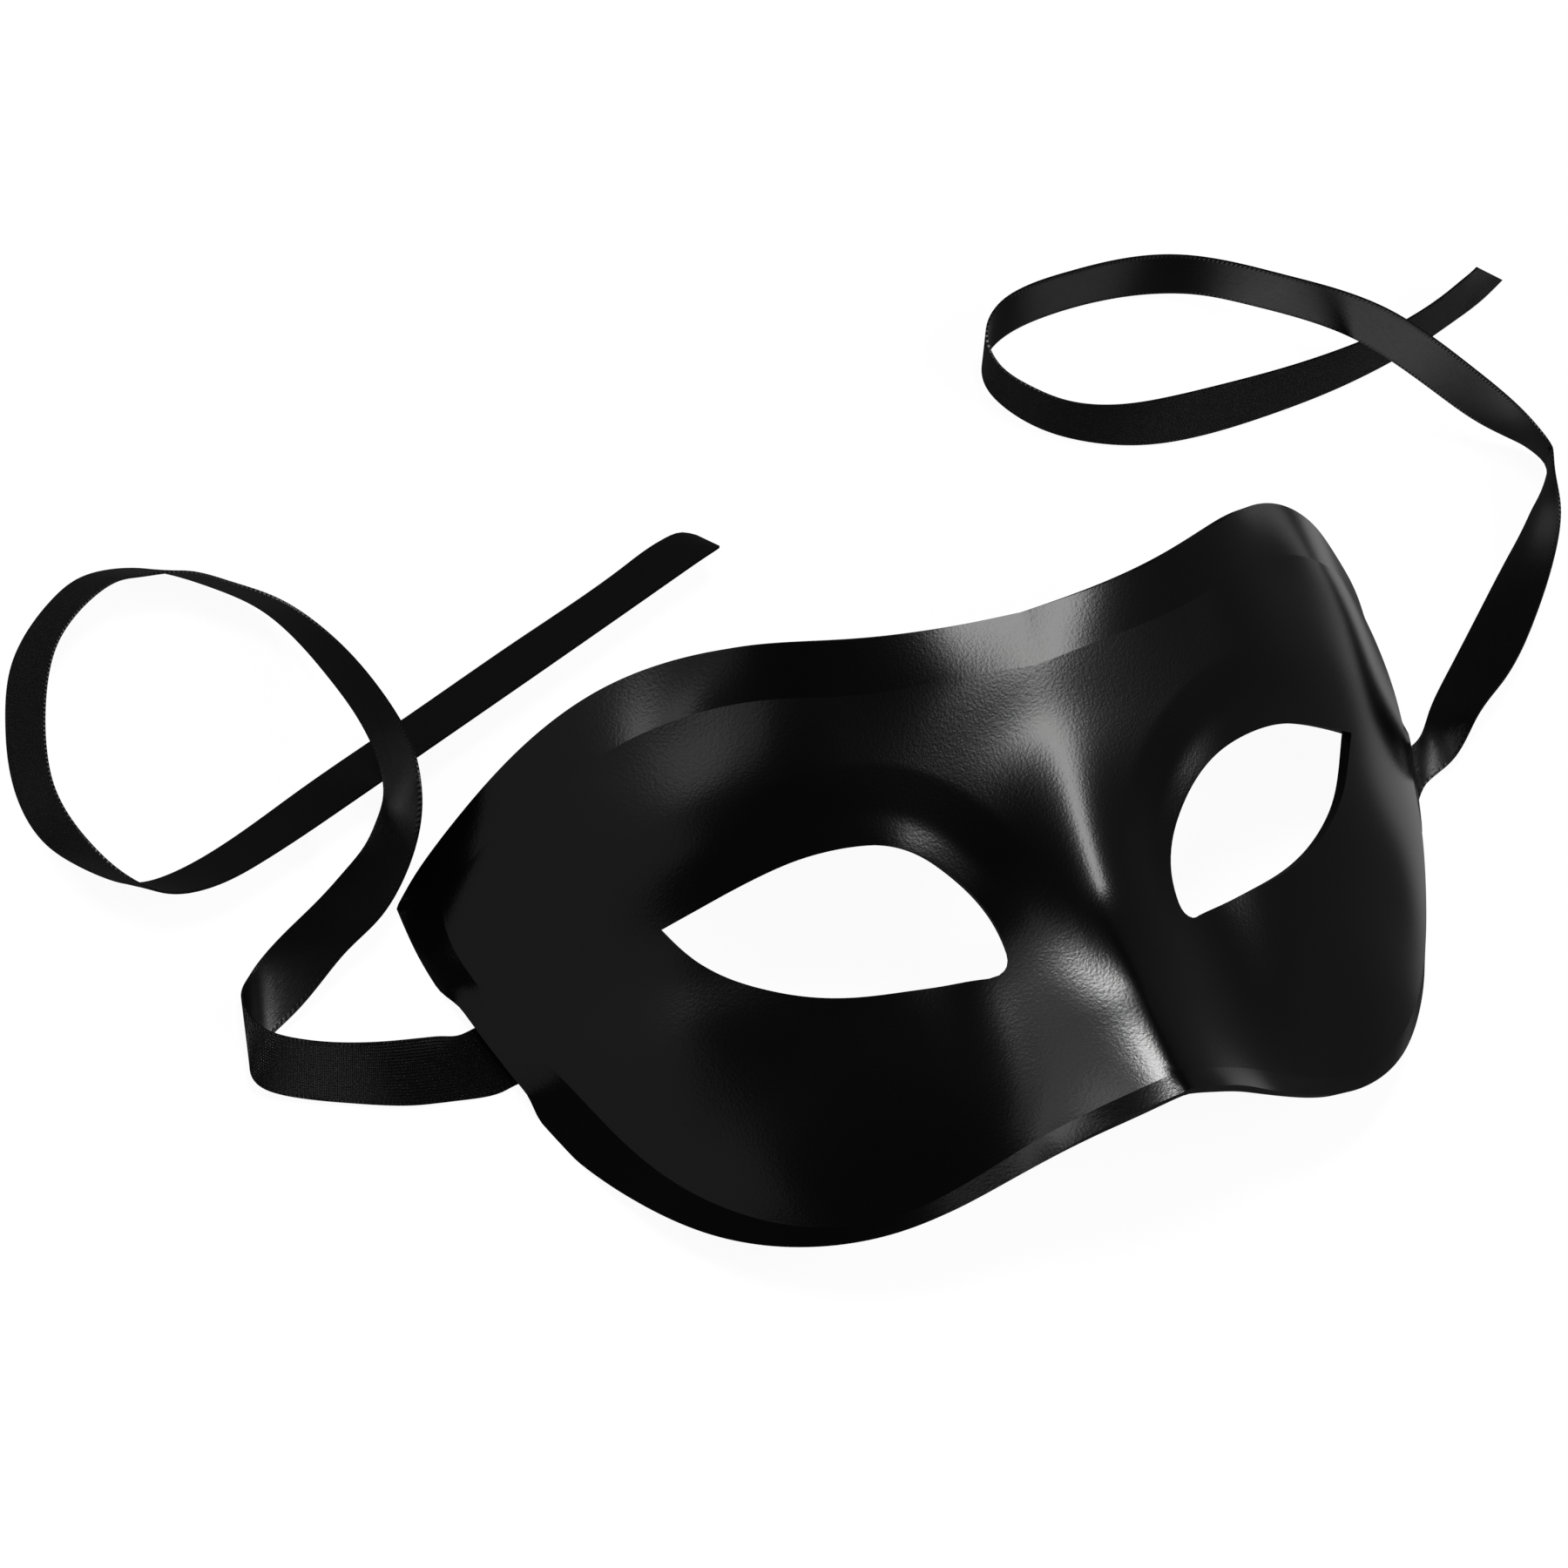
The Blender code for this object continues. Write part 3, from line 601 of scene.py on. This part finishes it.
def calculate(nodes, links, operation, first, second=None):
    """A Math node's result, from sockets or numbers."""
    made = nodes.new("ShaderNodeMath")
    made.operation = operation
    for socket, value in zip(made.inputs, (first, second)):
        if isinstance(value, (int, float)):
            socket.default_value = value
        elif value is not None:
            links.new(value, socket)
    return made.outputs[0]


def waves(nodes, links, place, direction):
    """Sine of the distance along a direction, whose length is in radians per metre."""
    run = node(nodes, "ShaderNodeVectorMath", operation="DOT_PRODUCT")
    links.new(place, run.inputs[0])
    run.inputs[1].default_value = (*direction, 0.0)
    return calculate(nodes, links, "SINE", run.outputs["Value"])


def selvedge(nodes, links, place):
    """Stitches along both edges of a ribbon."""
    parts = node(nodes, "ShaderNodeSeparateXYZ")
    links.new(place, parts.inputs["Vector"])
    across = calculate(nodes, links, "ABSOLUTE", parts.outputs["Y"])
    edge = node(nodes, "ShaderNodeMapRange", From_Min=SELVEDGE_START, From_Max=SELVEDGE_FULL)
    links.new(across, edge.inputs["Value"])
    stitches = waves(nodes, links, place, (2 * np.pi / SELVEDGE_PITCH, 0.0))
    return calculate(nodes, links, "MULTIPLY", edge.outputs["Result"], stitches)


def open_weave(nodes, links, place):
    """Mesh on a ribbon's back: two slanting sets of threads."""
    turn, rate = np.radians(THREAD_SLANT), 2 * np.pi / THREAD_PITCH
    one = waves(nodes, links, place, (rate * np.cos(turn), rate * np.sin(turn)))
    other = waves(nodes, links, place, (rate * np.cos(turn), -rate * np.sin(turn)))
    return calculate(nodes, links, "MULTIPLY", one, other)


def smooth_weave(nodes, links, place):
    """Fine threads on a ribbon's face, drawn out along it."""
    stretch = node(nodes, "ShaderNodeMapping", Scale=FACE_THREADS)
    links.new(place, stretch.inputs["Vector"])
    threads = node(nodes, "ShaderNodeTexNoise", Scale=1.0, Detail=2.0)
    links.new(stretch.outputs["Vector"], threads.inputs["Vector"])
    return threads.outputs["Fac"]


def satin(name, weave, relief, roughness, anisotropy):
    made, nodes, links, surface = material(
        name, Base_Color=SATIN_BLACK, IOR=SATIN_IOR, Roughness=roughness,
        Anisotropic=anisotropy, Anisotropic_Rotation=QUARTER_TURN)
    place = node(nodes, "ShaderNodeUVMap", uv_map="along").outputs["UV"]
    tangent = node(nodes, "ShaderNodeTangent", direction_type="UV_MAP", uv_map="along")
    links.new(tangent.outputs["Tangent"], surface.inputs["Tangent"])
    edges = selvedge(nodes, links, place)
    height = calculate(nodes, links, "ADD", weave(nodes, links, place), edges)
    strength, depth = relief
    bump = node(nodes, "ShaderNodeBump", Strength=strength, Distance=depth)
    links.new(height, bump.inputs["Height"])
    links.new(bump.outputs["Normal"], surface.inputs["Normal"])
    return made


# Shell: the lacquer's values, its orange peel with the depth in metres, and the angle in
# degrees above which an edge is sharp
LACQUER_BLACK = (0.001, 0.001, 0.001, 1)
LACQUER_ROUGHNESS = 0.19
LACQUER_IOR = 1.45
PEEL_SCALE = 2300.0
PEEL_STRENGTH = 0.7
PEEL_DEPTH = 0.00002
SHELL_SHARP_ANGLE = 50


def gloss():
    made, nodes, links, surface = material(
        "black lacquer", Base_Color=LACQUER_BLACK, Roughness=LACQUER_ROUGHNESS, IOR=LACQUER_IOR)
    place = node(nodes, "ShaderNodeTexCoord")
    peel = node(nodes, "ShaderNodeTexNoise", Scale=PEEL_SCALE, Detail=1.0)
    bump = node(nodes, "ShaderNodeBump", Strength=PEEL_STRENGTH, Distance=PEEL_DEPTH)
    links.new(place.outputs["Object"], peel.inputs["Vector"])
    links.new(peel.outputs["Fac"], bump.inputs["Height"])
    links.new(bump.outputs["Normal"], surface.inputs["Normal"])
    return made


def make_shell(made):
    """The right half with a mirror modifier; the border's inner line is a sharp crease."""
    points, faces = shell_half()
    shell = new_piece("mask_shell_skin", points, faces, made)
    mirror = shell.modifiers.new("other half", "MIRROR")
    mirror.merge_threshold = MERGE_DISTANCE
    mesh = shell.data
    mesh.set_sharp_from_angle(angle=np.radians(SHELL_SHARP_ANGLE))
    rings = FACE_RINGS + 1
    crease = {column * rings + FACE_RINGS for column in range(BROW_COLUMNS + SIDE_COLUMNS + 1)}
    for edge in mesh.edges:
        if crease.issuperset(edge.vertices):
            edge.use_edge_sharp = True
    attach(shell, "root")
    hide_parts("mask_shell")


# Floor: half its side in metres, its grey, and the glow that makes it the photograph's white
FLOOR_HALF = 3.0
FLOOR_GREY = (0.1, 0.1, 0.1, 1)
FLOOR_GLOW = 0.95

# Soft panels: name, azimuth, elevation, width and height in degrees, and radiance
PANELS = (
    ("brow panel", -20, 55.5, 20, 10, 10.5),
    ("forehead panel", -37, 60, 7, 5, 4.0),
    ("nose panel", 124, 70, 14, 8, 30.0),
    ("low nose panel", 153, 55, 16, 12, 2.5),
    ("lip panel", 180, 62, 12, 8, 1.1),
    ("crown panel", 154, 71.6, 32, 15, 0.45),
    ("side panel", 183.6, 30, 64, 60, 0.25),
)
PANEL_DISTANCE = 1.5

# Soft glows of the room: azimuth, elevation and reach in degrees, and radiance
GLOWS = (
    (10, -24, 21, 0.5),
    (5, 15, 55, 0.08),
    (-116, -45, 20, 1.3),
    (145, -32, 13, 1.1),
    (112, -36, 15, 0.6),
    (-48, -34, 10, 0.4),
    (-56, -19, 10, 0.7),
)
ROOM_RADIANCE = 0.035


def toward(azimuth, elevation):
    """Unit vector from the mask to a place in the room, from angles in degrees."""
    turn, rise = np.radians(azimuth), np.radians(elevation)
    return np.cos(rise) * np.cos(turn), np.cos(rise) * np.sin(turn), np.sin(rise)


def make_floor():
    made = material(
        "studio white", Base_Color=FLOOR_GREY, Roughness=0.9, Specular_IOR_Level=0.0,
        Emission_Color=(1, 1, 1, 1), Emission_Strength=FLOOR_GLOW)[0]
    corners = [(x * FLOOR_HALF, y * FLOOR_HALF, 0) for x, y in ((-1, -1), (1, -1), (1, 1), (-1, 1))]
    floor = new_piece("floor", corners, [(0, 1, 2, 3)], made, smooth=False)
    floor.visible_glossy = False
    floor.visible_shadow = False


def softbox(name, azimuth, elevation, width, height, radiance):
    """A soft panel that shines on the mask from one direction; its sides are angles."""
    away = Vector(toward(azimuth, elevation))
    data = bpy.data.lights.new(name, "AREA")
    data.shape = "RECTANGLE"
    data.size = 2 * PANEL_DISTANCE * np.tan(np.radians(width / 2))
    data.size_y = 2 * PANEL_DISTANCE * np.tan(np.radians(height / 2))
    data.energy = radiance * np.pi * data.size * data.size_y
    lamp = bpy.data.objects.new(name, data)
    lamp.location = away * PANEL_DISTANCE
    lamp.rotation_euler = away.to_track_quat("Z", "Y").to_euler()
    bpy.context.scene.collection.objects.link(lamp)


def light_world():
    world = bpy.data.worlds.new("studio")
    bpy.context.scene.world = world
    world.use_nodes = True
    nodes, links = world.node_tree.nodes, world.node_tree.links
    view = node(nodes, "ShaderNodeTexCoord").outputs["Generated"]
    total = ROOM_RADIANCE
    for azimuth, elevation, reach, radiance in GLOWS:
        facing = node(nodes, "ShaderNodeVectorMath", operation="DOT_PRODUCT")
        links.new(view, facing.inputs[0])
        facing.inputs[1].default_value = toward(azimuth, elevation)
        glow = node(nodes, "ShaderNodeMapRange", interpolation_type="SMOOTHSTEP",
                    From_Min=np.cos(np.radians(reach)), To_Max=radiance)
        links.new(facing.outputs["Value"], glow.inputs["Value"])
        total = calculate(nodes, links, "ADD", total, glow.outputs["Result"])
    links.new(total, nodes["Background"].inputs["Color"])


make_camera()
ribbon_face = satin("black satin face", smooth_weave, FACE_RELIEF, roughness=0.29, anisotropy=0.3)
ribbon_back = satin("black satin back", open_weave, BACK_RELIEF, roughness=0.32, anisotropy=0.2)
make_ribbon("ribbon_left", LEFT_ROUTE, ribbon_face, ribbon_back)
make_ribbon("ribbon_right", RIGHT_ROUTE, ribbon_face, ribbon_back)
make_shell(gloss())
make_floor()
light_world()
for panel in PANELS:
    softbox(*panel)
bpy.context.scene.view_settings.view_transform = "Standard"
